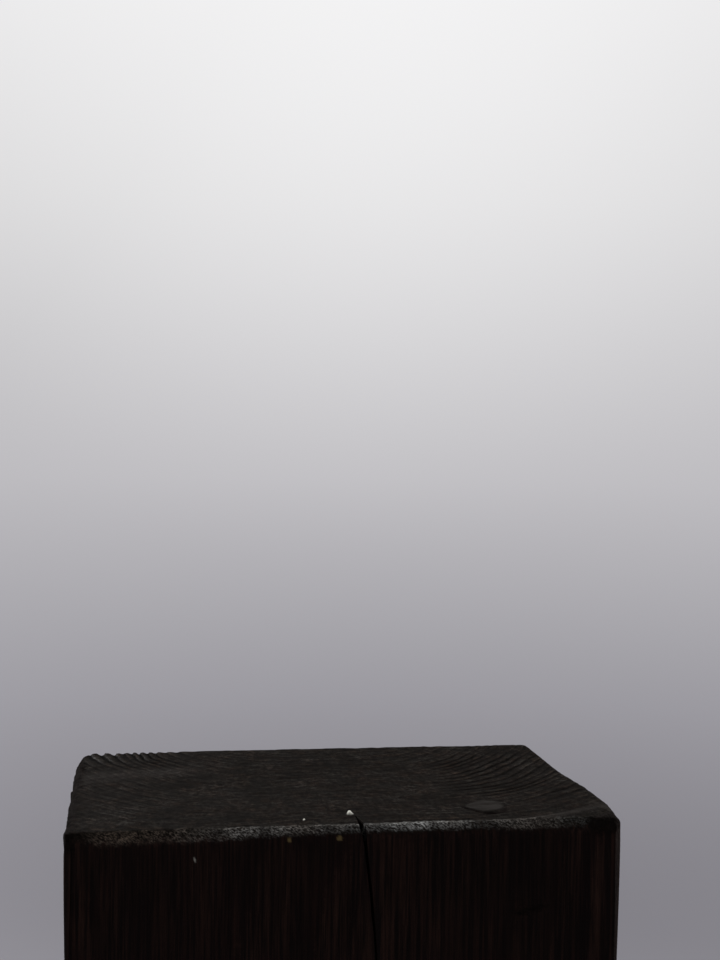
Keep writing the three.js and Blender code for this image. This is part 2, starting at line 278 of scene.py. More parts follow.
def flake_height(x, y):
    """Thickest at the right and in front, with a groove round the near side of its rim."""
    distance = flake_distance(x, y)
    near = flake_near_side(x, y, 9 * MM)
    moat = smooth(distance, 0.96, 1.04) * (1 - smooth(distance, 1.06, 1.22)) * near
    thick = smooth(x - FLAKE.x, -11 * MM, 3 * MM) * (0.5 + 0.4 * near)
    return thick * MM * (1 - smooth(distance, 0.84, 1.0)) - 0.9 * MM * moat


def crumb_height(x, y):
    """Plaster crumbs lying on the end grain."""
    height = 0
    for at, back, radius in PLASTER_SPECKS:
        distance = np.hypot(x - at * MM, y + HALF_D - back * MM)
        height = height + 1.3 * radius * MM * (1 - smooth(distance, 0.3 * radius * MM, 1.3 * radius * MM))
    return height


def corner_swell(x, y):
    """The end grain stands higher behind the front right corner."""
    along_y = smooth(y, -76 * MM, -58 * MM) * (1 - smooth(y, -30 * MM, 20 * MM))
    return 1.9 * MM * smooth(x, 92 * MM, 128 * MM) * along_y


def gouge_depth(x, y, z):
    """A shallow dent across the grain, right of the middle of the front."""
    u = (x - GOUGE.x) / GOUGE_HALF.x
    v = (TOP - z - GOUGE.y + GOUGE_RISE * (x - GOUGE.x)) / GOUGE_HALF.y
    return 0.8 * MM * np.exp(-(u ** 4) - v * v) * (y < -HALF_D + 5 * MM)


# ---- The timber's surface ----

def plane_press(points, normal, through, relief, softness):
    """Presses what stands outside a worn plane back onto it, in place."""
    normal = np.array(normal, float) / np.linalg.norm(normal)
    over = (points - np.array(through, float)) @ normal - relief
    push = 0.5 * (over + np.sqrt(over * over + softness * softness))
    push[over < -12 * softness] = 0
    points -= push[:, None] * normal


def wear_drop(x):
    """How far the worn front edge reaches down the front at each place across."""
    place, drop = np.array(FRONT_WEAR).T * MM
    return np.interp(x, place, drop)


def top_relief(sharp, grooves):
    """How far the end grain stands above the flat top of the sharp block."""
    x, y, _ = sharp.T
    lumps = 0.22 * MM * noise(sharp, 4 * MM, 21, 2) + 0.4 * MM * noise(sharp, 32 * MM, 23)
    worn = grooves + lumps - 0.25 * MM + 1.3 * MM * smooth(y, -10 * MM, 70 * MM)
    return worn + flake_height(x, y) + streak_height(x, y) + crumb_height(x, y)


def side_relief(points, sharp, groove):
    """How far the long grain stands out of the sharp block's sides."""
    x, y, z = sharp.T
    drop = TOP - z
    fibres = 0.09 * MM * noise(points, (1.9 * MM, 1.9 * MM, 45 * MM), 27, 2)
    sawn = 0.16 * MM * noise(points, (0.07, 0.07, 0.5), 29) + np.where(x < 0, -0.2, 0.7) * MM
    flare = np.where(x < 0, 1.9, 1.6) * MM * (1 - smooth(drop, 0, 115 * MM)) * (np.abs(x) > HALF_W - 1 * MM)
    tear = 1.3 * MM * noise(points, (9 * MM, 2.8 * MM, 30 * MM), 51, 2) - 0.35 * MM
    tear -= 1.4 * MM * bump_at(y, LEFT_BITE, 3 * MM)
    tear *= (x < 1 * MM - HALF_W) * (1 - smooth(drop, 4 * MM, 12 * MM))
    return SIDE_GROOVES * groove + fibres + sawn + flare + tear - gouge_depth(x, y, z)


def wear_edges(points, sharp, grooves, swell):
    """Rounds, tears and chips the edges and corners. Each press is a worn plane laid on one of them."""
    x, y, _ = sharp.T
    fuzz = 0.55 * MM * noise(points, (1.5 * MM, 2.5 * MM, 2.5 * MM), 31, 2)
    chips = 1.6 * MM * smooth(noise(points, (9 * MM, 9 * MM, 14 * MM), 33), 0.35, 0.8)
    edge = 0.6 * grooves
    bite = 1.6 * MM * bump_at(y, LEFT_BITE, 3.5 * MM)
    wave = 0.4 * MM * noise(points, (22 * MM, 22 * MM, 40 * MM), 35) + (5.5 * MM - wear_drop(x)) * 0.54
    right = swell + 0.5 * edge + 0.2 * fuzz - 0.4 * chips
    left = edge + 2.2 * fuzz - 1.3 * chips - bite
    # Top edges: front, back, right, left
    plane_press(points, (0, -5.5, 3.5), (0, -HALF_D, TOP - 5.5 * MM), fuzz + wave + 0.5 * edge, 0.9 * MM)
    plane_press(points, (0, 1, 1), (0, HALF_D, TOP + 0.9 * MM), edge - 0.2 * chips, 0.5 * MM)
    plane_press(points, (1, 0, 1), (HALF_W, 0, TOP - 0.5 * MM), right, 0.5 * MM)
    plane_press(points, (-1, 0, 1), (-HALF_W, 0, TOP - 0.8 * MM), left, 0.4 * MM)
    # Knocked-off front right corner, chipped back left corner
    plane_press(points, (3 / 26, -3 / 24, 1), (HALF_W, -HALF_D, TOP - 1.1 * MM), 0.5 * fuzz, 0.3 * MM)
    plane_press(points, (-16 / 5, 16 / 14, 1), (-HALF_W, HALF_D, TOP - 16 * MM), 0.5 * edge, 0.6 * MM)
    # Upright edges, then bottom edges
    for sx, sy in product((-1, 1), repeat=2):
        worn = 0.3 * MM * noise(points, (60 * MM, 60 * MM, 90 * MM), 37) - (0.5 if sx < 0 else 0.15) * chips
        plane_press(points, (sx, sy, 0), (sx * HALF_W, sy * (HALF_D - 1.1 * MM), 0), worn, 0.5 * MM)
    for sx, sy in ((0, -1), (0, 1), (-1, 0), (1, 0)):
        through = (sx * HALF_W, sy * HALF_D, UNDERSIDE + 1.5 * MM)
        plane_press(points, (sx, sy, -1), through, -0.3 * chips, 0.6 * MM)


def weather(points, out, up):
    """Erodes the growth rings, then wears the edges and corners of a sharp block, in place."""
    sharp = points.copy()
    count = ring_number(sharp)
    groove = ring_ridge(count) - 1
    grooves = END_GROOVES * end_wear(sharp, count) * groove
    swell = corner_swell(sharp[:, 0], sharp[:, 1])
    points[:, 2] += up * (top_relief(sharp, grooves) + swell)
    points[:, :2] += out * side_relief(points, sharp, groove)[:, None]
    wear_edges(points, sharp, grooves, swell)


# ---- Mesh grid of the post ----

NX, NY = round(2 * HALF_W / STEP_X), round(2 * HALF_D / STEP_Y)
XS, YS = np.linspace(-HALF_W, HALF_W, NX + 1), np.linspace(-HALF_D, HALF_D, NY + 1)
# Columns of the sides run front, right, back, left, and start at the front left corner
FIRST_RIGHT, FIRST_BACK, FIRST_LEFT, COLUMNS = NX, NX + NY, 2 * NX + NY, 2 * (NX + NY)


def line_near(lines, place):
    """Number of the mesh line nearest to a place across a face, in millimetres."""
    return int(round((place * MM - lines[0]) / (lines[1] - lines[0])))


FRONT_LINE, BACK_LINE = line_near(XS, FRONT_START), line_near(XS, BACK_START)
LEFT_LINE = line_near(YS, LEFT_START)


def row_drops():
    """Mesh rows as drops below the top: close at the top edge, wide down the trunk."""
    rows = np.concatenate([
        np.arange(0, 12, 0.8), np.arange(12, 60, 1.6), np.arange(60, 130, 3.5), np.arange(130, 960, 11),
    ]) * MM
    # The last rows lie close again, at the bottom edge
    foot = TOP - UNDERSIDE - np.array([20, 12, 6, 4, 3, 2, 1, 0]) * MM
    return np.concatenate([rows[rows < foot[0] - 4 * MM], foot])


def spread(lines, middle, target, half_width, strength):
    """Rows of grid lines: line number middle lies on target and its neighbours on the lips of a check."""
    places, step = np.tile(lines, (len(target), 1)), lines[1] - lines[0]
    k = np.arange(len(lines)) - middle
    shift = target[:, None] - places[:, middle:middle + 1]
    away = np.abs(places - places[:, middle:middle + 1])
    moved = places + strength[:, None] * shift * (1 - smooth(away, 0, 60 * MM))
    pinch = np.where(k == 0, 0, np.sign(k) * np.exp(-(np.abs(k) - 1) / 3.0))
    lips = (np.maximum(half_width, 0.1 * MM) - step)[:, None] * pinch
    return moved + strength[:, None] * lips


def side_grid(drops):
    """Points of the four sides, one row for each drop, and the outward direction of each column."""
    front_at, front_wide, _ = along(FRONT_CHECK, drops)
    back_at, back_wide, _ = along(BACK_CHECK, drops)
    left_at, left_wide, _ = along(LEFT_CHECK, drops)
    back_fade = smooth(drops, 20 * MM, BACK_CHECK[0][0] * MM)
    left_fade = smooth(drops, 100 * MM, LEFT_CHECK[0][0] * MM)
    front_x = spread(XS, FRONT_LINE, front_at, front_wide / 2, np.ones(len(drops)))
    back_x = spread(XS, BACK_LINE, back_at, back_wide / 2, back_fade)
    left_y = spread(YS, LEFT_LINE, left_at, left_wide / 2, left_fade)
    # Columns, x, y and outward direction of each face
    faces = (
        (slice(0, FIRST_RIGHT), front_x[:, :NX], -HALF_D, (0, -1)),
        (slice(FIRST_RIGHT, FIRST_BACK), HALF_W, YS[:NY], (1, 0)),
        (slice(FIRST_BACK, FIRST_LEFT), back_x[:, :0:-1], HALF_D, (0, 1)),
        (slice(FIRST_LEFT, COLUMNS), -HALF_W, left_y[:, :0:-1], (-1, 0)),
    )
    corners = {0: (-1, -1), FIRST_RIGHT: (1, -1), FIRST_BACK: (1, 1), FIRST_LEFT: (-1, 1)}
    side, out = np.zeros((len(drops), COLUMNS, 3)), np.zeros((COLUMNS, 2))
    side[:, :, 2] = (TOP - drops)[:, None]
    for columns, x, y, outward in faces:
        side[:, columns, 0], side[:, columns, 1], out[columns] = x, y, outward
    for corner, outward in corners.items():
        out[corner] = outward
    return side, out


def top_grid(mouth_at, mouth_wide):
    """Points of the top without its outer lines, which are the sides' first row."""
    end_at, end_depth = FRONT_CHECK_END[0] * MM, FRONT_CHECK_END[1] * MM
    inward, step = YS + HALF_D, XS[1] - XS[0]
    at = np.interp(inward, [0, end_depth], [mouth_at, end_at])
    half = np.interp(inward, [0, end_depth], [mouth_wide / 2, 0])
    pinch_fade = 1 - smooth(inward, end_depth, end_depth + 16 * MM)
    open_half = step + (np.maximum(half, 0.1 * MM) - step) * pinch_fade
    lines = spread(XS, FRONT_LINE, at, open_half, 1 - smooth(inward, end_depth, 70 * MM))
    top = np.zeros((NY - 1, NX - 1, 3))
    top[:, :, 0] = lines[1:-1, 1:-1]
    top[:, :, 1] = YS[1:-1, None]
    top[:, :, 2] = TOP
    return top


def open_checks(side, top, drops):
    """Pushes the middle line of each check in to its root, in place."""
    end_depth, closed = FRONT_CHECK_END[1] * MM, FRONT_CHECK[-1][0] * MM
    on_front = drops <= closed
    root_drop = end_depth + drops[on_front] * (closed - end_depth) / closed
    root_at, _, root_deep = along(FRONT_CHECK, root_drop)
    side[on_front, FRONT_LINE, 0] = root_at + 1 * MM
    side[on_front, FRONT_LINE, 1] = side[on_front, FRONT_LINE - 1, 1] + root_deep
    side[on_front, FRONT_LINE, 2] = TOP - root_drop
    inward = YS[1:-1] + HALF_D
    on_top = np.nonzero(inward < end_depth)[0]
    top[on_top, FRONT_LINE - 1, 2] = TOP - (end_depth - inward[on_top]) - 1 * MM
    top[on_top, FRONT_LINE - 1, 1] = -HALF_D + end_depth
    side[:, FIRST_BACK + NX - BACK_LINE, 1] -= along(BACK_CHECK, drops)[2]
    side[:, FIRST_LEFT + NY - LEFT_LINE, 0] += along(LEFT_CHECK, drops)[2]


def quads(number):
    """Faces of a grid of point numbers."""
    corners = [number[:-1, :-1], number[1:, :-1], number[1:, 1:], number[:-1, 1:]]
    return np.stack(corners, axis=-1).reshape(-1, 4)


def post_mesh():
    """Points and faces of the post, open below, and the point numbers of its bottom rim."""
    drops = row_drops()
    rows = len(drops)
    side, out = side_grid(drops)
    mouth_at, mouth_wide, _ = along(FRONT_CHECK, drops[0])
    top = top_grid(mouth_at, mouth_wide)
    on_side, on_top = rows * COLUMNS, (NY - 1) * (NX - 1)
    points = np.concatenate([side.reshape(-1, 3), top.reshape(-1, 3)])
    outward = np.concatenate([np.tile(out, (rows, 1)), np.zeros((on_top, 2))])
    upward = np.concatenate([np.ones(COLUMNS), np.zeros(on_side - COLUMNS), np.ones(on_top)])
    weather(points, outward, upward)
    side, top = points[:on_side].reshape(side.shape), points[on_side:].reshape(top.shape)
    open_checks(side, top, drops)

    # Point numbers: the sides closed round, and the top with the sides' first row as its outer lines
    number = np.arange(on_side).reshape(rows, COLUMNS)
    wrapped = np.concatenate([number, number[:, :1]], axis=1)
    grid = np.empty((NY + 1, NX + 1), int)
    grid[1:-1, 1:-1] = on_side + np.arange(on_top).reshape(NY - 1, NX - 1)
    grid[0, :] = np.arange(NX + 1)
    grid[:, NX] = FIRST_RIGHT + np.arange(NY + 1)
    grid[NY, :] = FIRST_BACK + NX - np.arange(NX + 1)
    grid[:, 0] = (FIRST_LEFT + NY - np.arange(NY + 1)) % COLUMNS
    tops = np.roll(quads(grid)[:, ::-1], 1, axis=1)  # turned over to face up
    return points, np.concatenate([quads(wrapped), tops]), number[-1]


# ---- The underside of the post: recess for the plate, bores for nuts, spindles and screws ----

def rounded_loop(half_w, half_d, radius, z, count=8):
    """Points round a rectangle with round corners."""
    loop = []
    for quarter, (sx, sy) in enumerate(((1, 1), (-1, 1), (-1, -1), (1, -1))):
        for i in range(count + 1):
            turn = (quarter + i / count) * math.pi / 2
            loop.append((sx * (half_w - radius) + radius * math.cos(turn),
                         sy * (half_d - radius) + radius * math.sin(turn), z))
    return loop


def bore_profiles(corner):
    """Axis and (radius, z) steps of the two bores above the plate at one corner."""
    nut_low, nut_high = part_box(f"foot_nut_{corner}")
    spindle_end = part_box(f"foot_spindle_{corner}")[1].z + BORE_END
    screw_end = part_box(f"coach_screw_{corner}")[1].z + BORE_END
    nut_bore = (nut_high.x - nut_low.x) / 2 + BORE_CLEARANCE
    nut_end = nut_high.z + BORE_CLEARANCE
    spindle_bore, pilot = THREAD_RADIUS + BORE_CLEARANCE, SCREW_RADIUS + PILOT_CLEARANCE
    yield axis_of(f"foot_nut_{corner}"), [(nut_bore, PLATE_HIGH.z), (nut_bore, nut_end),
                                          (spindle_bore, nut_end), (spindle_bore, spindle_end)]
    yield axis_of(f"coach_screw_{corner}"), [(pilot, PLATE_HIGH.z), (pilot, screw_end)]


def add_underside(bm, rim):
    """Closes the open bottom of the post: rim is the loop of its lowest vertices."""
    def loop_of(points):
        verts = [bm.verts.new(p) for p in points]
        return verts, [bm.edges.new((a, b)) for a, b in zip(verts, verts[1:] + verts[:1])]

    def wall(lower, upper):
        for i in range(len(lower)):
            j = (i + 1) % len(lower)
            bm.faces.new((lower[i], lower[j], upper[j], upper[i]))

    def fill(edges):
        bmesh.ops.triangle_fill(bm, use_beauty=True, edges=edges, normal=(0, 0, -1))

    rim_edges = [bm.edges.get((a, b)) for a, b in zip(rim, rim[1:] + rim[:1])]
    half_w, half_d = PLATE_HIGH.x + PLATE_CLEARANCE, PLATE_HIGH.y + PLATE_CLEARANCE
    mouth, mouth_edges = loop_of(rounded_loop(half_w, half_d, RECESS_RADIUS, rim[0].co.z))
    ceiling, ceiling_edges = loop_of(rounded_loop(half_w, half_d, RECESS_RADIUS, PLATE_HIGH.z))
    fill(rim_edges + mouth_edges)
    wall(mouth, ceiling)
    for corner in CORNERS:
        for (x, y), profile in bore_profiles(corner):
            made = [loop_of(ring) for ring in rings_of(profile, x, y, BORE_ROUND)]
            loops = [verts for verts, _ in made]
            ceiling_edges += made[0][1]
            for lower, upper in zip(loops, loops[1:]):
                wall(lower, upper)
            bm.faces.new(loops[-1])
    fill(ceiling_edges)


# ---- Turned and threaded metal ----

def finish_piece(name, mesh, body, slot, replaced, sharp):
    """Tidies a mesh and makes it a piece that rides on a body and stands for a CAD node."""
    bm = bmesh.new()
    bm.from_mesh(mesh)
    bmesh.ops.recalc_face_normals(bm, faces=bm.faces)
    bm.to_mesh(mesh)
    bm.free()
    mesh.polygons.foreach_set("use_smooth", np.ones(len(mesh.polygons), bool))
    mesh.set_sharp_from_angle(angle=sharp * DEG)
    piece = place_object(name, mesh)
    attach(piece, body)
    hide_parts(replaced)
    piece.data.materials.append(FINISHES[slot])


def make_piece(name, points, faces, body, slot, replaced, sharp=35):
    mesh = bpy.data.meshes.new(name)
    mesh.from_pydata(points, [], faces)
    finish_piece(name, mesh, body, slot, replaced, sharp)


def skin(rings, closed):
    """Points and faces of a stack of rings. A closed stack returns to its start; an open one is capped."""
    count, points, faces = len(rings[0]), [p for ring in rings for p in ring], []
    pairs = [(k, k + 1) for k in range(len(rings) - 1)] + ([(len(rings) - 1, 0)] if closed else [])
    for low, high in pairs:
        for i in range(count):
            j = (i + 1) % count
            faces.append((low * count + i, low * count + j, high * count + j, high * count + i))
    if not closed:
        faces.append(tuple(reversed(range(count))))
        faces.append(tuple(range((len(rings) - 1) * count, len(rings) * count)))
    return points, faces


def rounded_profile(profile, radius, steps=3):
    """An open profile of (radius, z) points, rounded at every corner between its two ends."""
    points = [Vector(p) for p in profile]
    made = [points[0]]
    for before, corner, after in zip(points, points[1:], points[2:]):
        reach = min(radius, (before - corner).length * 0.4, (after - corner).length * 0.4)
        start = corner + (before - corner).normalized() * reach
        end = corner + (after - corner).normalized() * reach
        for i in range(steps + 1):
            t = i / steps
            made.append(start * (1 - t) ** 2 + corner * 2 * t * (1 - t) + end * t * t)
    return [tuple(p) for p in made + [points[-1]]]


def hexagon_rings(x, y, flats, bottom, top):
    """Rings of a hexagon whose corners are turned off at both ends, as on a nut."""
    turns = turns_of(ROUND)
    edge = flats / 2 / np.cos((turns % (math.pi / 3)) - math.pi / 6)
    inner = flats / 2 * 0.96
    fall = (edge - inner) * math.tan(30 * DEG)
    levels = [(np.full(ROUND, inner), np.full(ROUND, bottom)), (edge, bottom + fall),
              (edge, top - fall), (np.full(ROUND, inner), np.full(ROUND, top))]
    return [[(x + r * math.cos(t), y + r * math.sin(t), z) for r, t, z in zip(radii, turns, heights)]
            for radii, heights in levels]


def thread_rings(x, y, bottom, top):
    """Rings of a real right-hand thread, which runs out at both ends."""
    per_turn = 10  # rings for each turn
    count = round((top - bottom) / THREAD_PITCH * per_turn)
    turns, rings = turns_of(ROUND), []
    for k in range(count + 1):
        z = bottom + (top - bottom) * k / count
        phase = (z / THREAD_PITCH - turns / (2 * math.pi)) % 1
        flank = np.clip(np.abs(phase - 0.5) * 2.5 - 0.12, 0, 1)
        ends = min(1, k / per_turn, (count - k) / per_turn + 0.25)
        radii = THREAD_RADIUS - 0.05 * MM - THREAD_DEPTH * np.maximum(flank, 1 - ends)
        rings.append([(x + r * math.cos(t), y + r * math.sin(t), z) for r, t in zip(radii, turns)])
    return rings


def make_nut(name, node):
    """Hexagon nut with a plain chamfered bore."""
    (x, y), (low, high) = axis_of(node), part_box(node)
    bore = THREAD_RADIUS + THREAD_PLAY
    mouth = bore + NUT_CHAMFER
    inside = [(mouth, high.z), (bore, high.z - NUT_CHAMFER), (bore, low.z + NUT_CHAMFER), (mouth, low.z)]
    points, faces = skin(hexagon_rings(x, y, NUT_FLATS, low.z, high.z) + rings_of(inside, x, y), closed=True)
    make_piece(name, points, faces, "root", "zinc_steel", node, sharp=25)


def make_spindle(corner):
    """Flange, neck, hexagon and thread."""
    node = f"foot_spindle_{corner}"
    (x, y), (low, high) = axis_of(node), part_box(node)
    hexagon_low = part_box(f"foot_base_{corner}")[1].z + HEXAGON_GAP
    hexagon_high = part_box(f"lock_nut_{corner}")[0].z
    flange_top = low.z + FLANGE_THICKNESS
    rings = rings_of([
        (FLANGE_RADIUS - FLANGE_EDGE, low.z), (FLANGE_RADIUS, low.z + FLANGE_EDGE),
        (FLANGE_RADIUS, flange_top - FLANGE_EDGE), (FLANGE_RADIUS - FLANGE_EDGE, flange_top),
        (THREAD_RADIUS, flange_top), (THREAD_RADIUS, hexagon_low),
    ], x, y)
    rings += hexagon_rings(x, y, SPINDLE_FLATS, hexagon_low, hexagon_high)
    rings += thread_rings(x, y, hexagon_high, high.z)
    points, faces = skin(rings, closed=False)
    name, body = f"levelling_spindle_{corner}", f"spindle_{corner}"
    make_piece(name, points, faces, body, "zinc_steel", node, sharp=28)


def make_base(corner):
    """Domed pressed-steel foot that the spindle's flange turns in."""
    node = f"foot_base_{corner}"
    (x, y), (low, high) = axis_of(node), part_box(node)
    rim = high.x - x
    throat, pocket = THREAD_RADIUS + THREAD_PLAY, FLANGE_RADIUS + FLANGE_PLAY
    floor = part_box(f"foot_spindle_{corner}")[0].z
    lip = floor + FLANGE_THICKNESS + FLANGE_PLAY
    outer = rounded_profile([
        (rim - 4 * MM, low.z), (rim - 0.3 * MM, low.z), (rim, low.z + 1.2 * MM),
        (rim - 0.6 * MM, low.z + 2.5 * MM), (rim - 4 * MM, low.z + 3.6 * MM),
        (12.5 * MM, high.z - 0.9 * MM), (11 * MM, high.z), (throat, high.z),
    ], 0.8 * MM)
    inner = [(throat, lip), (pocket, lip), (pocket, floor)]
    points, faces = skin(rings_of(outer + inner, x, y), closed=False)
    make_piece(f"levelling_base_{corner}", points, faces, f"foot_{corner}", "foot_steel", node)


def make_pad(corner):
    """Rubber pad with ring-shaped grooves in its underside."""
    node = f"foot_pad_{corner}"
    (x, y), (low, high) = axis_of(node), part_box(node)
    rim, grooves, roof = high.x - x, 5, low.z + 0.7 * MM
    profile = []
    for k in range(1, grooves + 1):
        middle = rim * k / (grooves + 1)
        profile += [(middle - 0.8 * MM, low.z), (middle - 0.5 * MM, roof),
                    (middle + 0.5 * MM, roof), (middle + 0.8 * MM, low.z)]
    profile += [(rim - 0.5 * MM, low.z), (rim, low.z + 0.4 * MM), (rim, high.z - 0.5 * MM),
                (rim - 0.5 * MM, high.z)]
    points, faces = skin(rings_of(profile, x, y), closed=False)
    make_piece(f"rubber_pad_{corner}", points, faces, f"foot_{corner}", "rubber", node)


# ---- Colours of the timber, as linear red, green and blue ----

LONG_DARK = (0.0032, 0.0025, 0.0026), (0.0084, 0.0057, 0.0054)  # thick stain: between fibres, on them
LONG_THIN = (0.0300, 0.0150, 0.0116), (0.0165, 0.0084, 0.0070)  # thin stain: soft wood, hard wood
END_SOFT = (0.0006, 0.0005, 0.0004), (0.0040, 0.0033, 0.0027)  # soft wood of the end grain
END_HARD = (0.0190, 0.0163, 0.0135), (0.0215, 0.0135, 0.0092)  # its hard wood: grey, brown
END_HARD_DARK = (0.0036, 0.0027, 0.0021)
END_DRY = (0.0080, 0.0070, 0.0062), (0.0210, 0.0184, 0.0168)  # its dry patches
SPLIT = (0.0012, 0.0010, 0.0010)  # hair splits along the rays
BRUISED = (0.0165, 0.0142, 0.0125)  # ground of the worn front edge
TORN_FIBRE_GLINTS = (0.2350, 0.1720, 0.1280), (0.3050, 0.3080, 0.3000)  # its torn fibres, painted pale as their highlights: left, middle and right
STAIN_AND_SHADOW = (0.0008, 0.0006, 0.0006), (0.0098, 0.0074, 0.0066)  # stain that soaked into damaged places, and painted shadow at the flake's rim
FLAKE_STAIN = (0.0084, 0.0072, 0.0062)
RAW_WOOD = (0.0900, 0.0640, 0.0290)
PLASTER = (0.5200, 0.5100, 0.4600)


# ---- Materials ----

def new_material(name):
    made = bpy.data.materials.new(name)
    made.use_nodes = True
    return made, made.node_tree, made.node_tree.nodes["Principled BSDF"]


def add(tree, kind, inputs=None, **settings):
    """A shader node. An input is a plain value, or the socket that feeds it."""
    made = tree.nodes.new("ShaderNode" + kind)
    for key, value in settings.items():
        setattr(made, key, value)
    for key, value in (inputs or {}).items():
        if isinstance(value, bpy.types.NodeSocket):
            tree.links.new(value, made.inputs[key])
        else:
            made.inputs[key].default_value = value
    return made


def maths(tree, operation, a, b=0.0, clamp=False):
    return add(tree, "Math", {0: a, 1: b}, operation=operation, use_clamp=clamp).outputs[0]


def plus(tree, a, b, clamp=False):
    return maths(tree, "ADD", a, b, clamp)


def minus(tree, a, b):
    return maths(tree, "SUBTRACT", a, b)


def times(tree, product_so_far, *factors):
    """The first number times all the others."""
    for factor in factors:
        product_so_far = maths(tree, "MULTIPLY", product_so_far, factor)
    return product_so_far


def ramp(tree, value, *stops):
    """A colour ramp from (position, colour) stops; a colour may be one grey number."""
    made = add(tree, "ValToRGB", {0: value})
    elements = made.color_ramp.elements
    while len(elements) < len(stops):
        elements.new(0.5)
    for element, (position, colour) in zip(elements, stops):
        element.position = position
        element.color = (*colour, 1) if isinstance(colour, tuple) else (colour, colour, colour, 1)
    return made.outputs[0]


def mix(tree, factor, a, b):
    """Colour a where the factor is 0, b where it is 1."""
    made = add(tree, "Mix", {0: factor}, data_type="RGBA")
    for index, value in ((6, a), (7, b)):
        if isinstance(value, tuple):
            made.inputs[index].default_value = (*value, 1)
        else:
            tree.links.new(value, made.inputs[index])
    return made.outputs[2]


def blend(tree, factor, low, high):
    """The number low where the factor is 0, high where it is 1."""
    return add(tree, "Mix", {0: factor, 2: low, 3: high}).outputs[0]


def remap(tree, value, low, high, at_low, at_high, interpolation="LINEAR"):
    """The number at_low where the value is low, at_high where it is high, and in between a passage."""
    return add(tree, "MapRange", {0: value, 1: low, 2: high, 3: at_low, 4: at_high},
               interpolation_type=interpolation).outputs[0]


def own_place(tree):
    """The object's own coordinates."""
    return add(tree, "TexCoord").outputs["Object"]


def noise_at(tree, where, scale, detail=4.0, roughness=0.6):
    return add(tree, "TexNoise", {"Vector": where, "Scale": scale, "Detail": detail,
                                  "Roughness": roughness}).outputs["Fac"]


def grain(tree, scale, detail=4.0, roughness=0.6, stretch=(1, 1, 1)):
    """Noise in the object's own coordinates, drawn out along the axes whose stretch is below 1."""
    where = add(tree, "Mapping", {0: own_place(tree), 3: stretch}).outputs[0]
    return noise_at(tree, where, scale, detail, roughness)


def slanted(tree, turn, length, scale, detail, roughness):
    """Noise drawn out along a direction in the XZ plane, turn degrees below the horizontal."""
    where = add(tree, "Mapping", {0: own_place(tree), 2: (0, turn * DEG, 0), 3: (length, 1, 1)},
                vector_type="TEXTURE").outputs[0]
    return noise_at(tree, where, scale, detail, roughness)


def attribute(tree, name, output="Fac"):
    return add(tree, "Attribute", attribute_name=name).outputs[output]


def fit(tree, surface, colour, roughness, height, strength, distance):
    """Joins a colour, a roughness and a bump of the given strength to the surface."""
    bump = add(tree, "Bump", {"Strength": strength, "Distance": distance, "Height": height})
    for name, value in (("Base Color", colour), ("Roughness", roughness), ("Normal", bump.outputs[0])):
        tree.links.new(value, surface.inputs[name])


def timber_patterns(tree):
    """The noises, ring patterns and painted masks that the timber's colour, gloss and bumps share."""
    p = SimpleNamespace(
        fibre=grain(tree, 760, 5, 0.65, (1, 1, 0.022)), streak=grain(tree, 640, 5, 0.75, (1, 1, 0.03)),
        blotch=grain(tree, 22, 3, 0.5, (1, 1, 0.35)), pore=grain(tree, 1100, 3),
        scuff=grain(tree, 230, 6, 0.72), cloud=grain(tree, 42, 5, 0.62), warm=grain(tree, 75, 4, 0.7),
        strokes=slanted(tree, 38, 2.9, 1500, 4, 0.72),
    )
    for name in ("end_grain", "front_wear", "carve", "dry", "flake", "pooled", "raw_wood", "plaster"):
        setattr(p, name, attribute(tree, name))
    count = plus(tree, attribute(tree, "ring"), times(tree, minus(tree, p.scuff, 0.5), 0.45))
    once, twice = maths(tree, "FRACT", count), maths(tree, "FRACT", times(tree, count, 2.0))
    p.late = ramp(tree, once, (0.0, 0.0), (0.35, 0.1), (0.74, 0.85), (0.9, 1.0), (0.97, 0.0))
    p.line = ramp(tree, twice, (0.0, 0.0), (0.5, 0.3), (0.85, 1.0), (1.0, 0.0))
    ray_at = add(tree, "Mapping", {0: attribute(tree, "ray", "Vector"), 3: (1, 1, 0.05)}).outputs[0]
    p.split = ramp(tree, noise_at(tree, ray_at, 95, 3), (0.30, 1.0), (0.37, 0.0))
    p.hard = hard_wood(tree, p)
    clump = ramp(tree, grain(tree, 120, 3), (0.36, 0.35), (0.6, 1.0))
    # lit: strokes along the worn front edge where the torn fibres get painted highlights
    p.lit = times(tree, p.front_wear, times(tree, ramp(tree, p.strokes, (0.46, 0.0), (0.6, 1.0)), clump))
    return p


def hard_wood(tree, p):
    """Where the end grain shows hard wood: its ring lines where it is grooved, a speckle where it is flat."""
    speckle = ramp(tree, grain(tree, 330, 5, 0.8, (1, 0.55, 1)), (0.42, 0.08), (0.6, 0.98))
    shown = blend(tree, ramp(tree, p.carve, (0.0, 0.2), (0.45, 1.0)), speckle, p.late)
    shown = plus(tree, shown, times(tree, minus(tree, p.line, 0.4), 0.35), clamp=True)
    return times(tree, shown, ramp(tree, p.cloud, (0.34, 0.2), (0.66, 1.0)))


def long_grain_colour(tree, p):
    """Near black, with reddish streaks where the stain is thinner."""
    patches = ramp(tree, p.blotch, (0.32, 0.3), (0.68, 1.0))
    thin = times(tree, ramp(tree, p.streak, (0.43, 0.0), (0.7, 1.0)), patches)
    return mix(tree, thin, mix(tree, p.fibre, *LONG_DARK), mix(tree, p.late, *LONG_THIN))


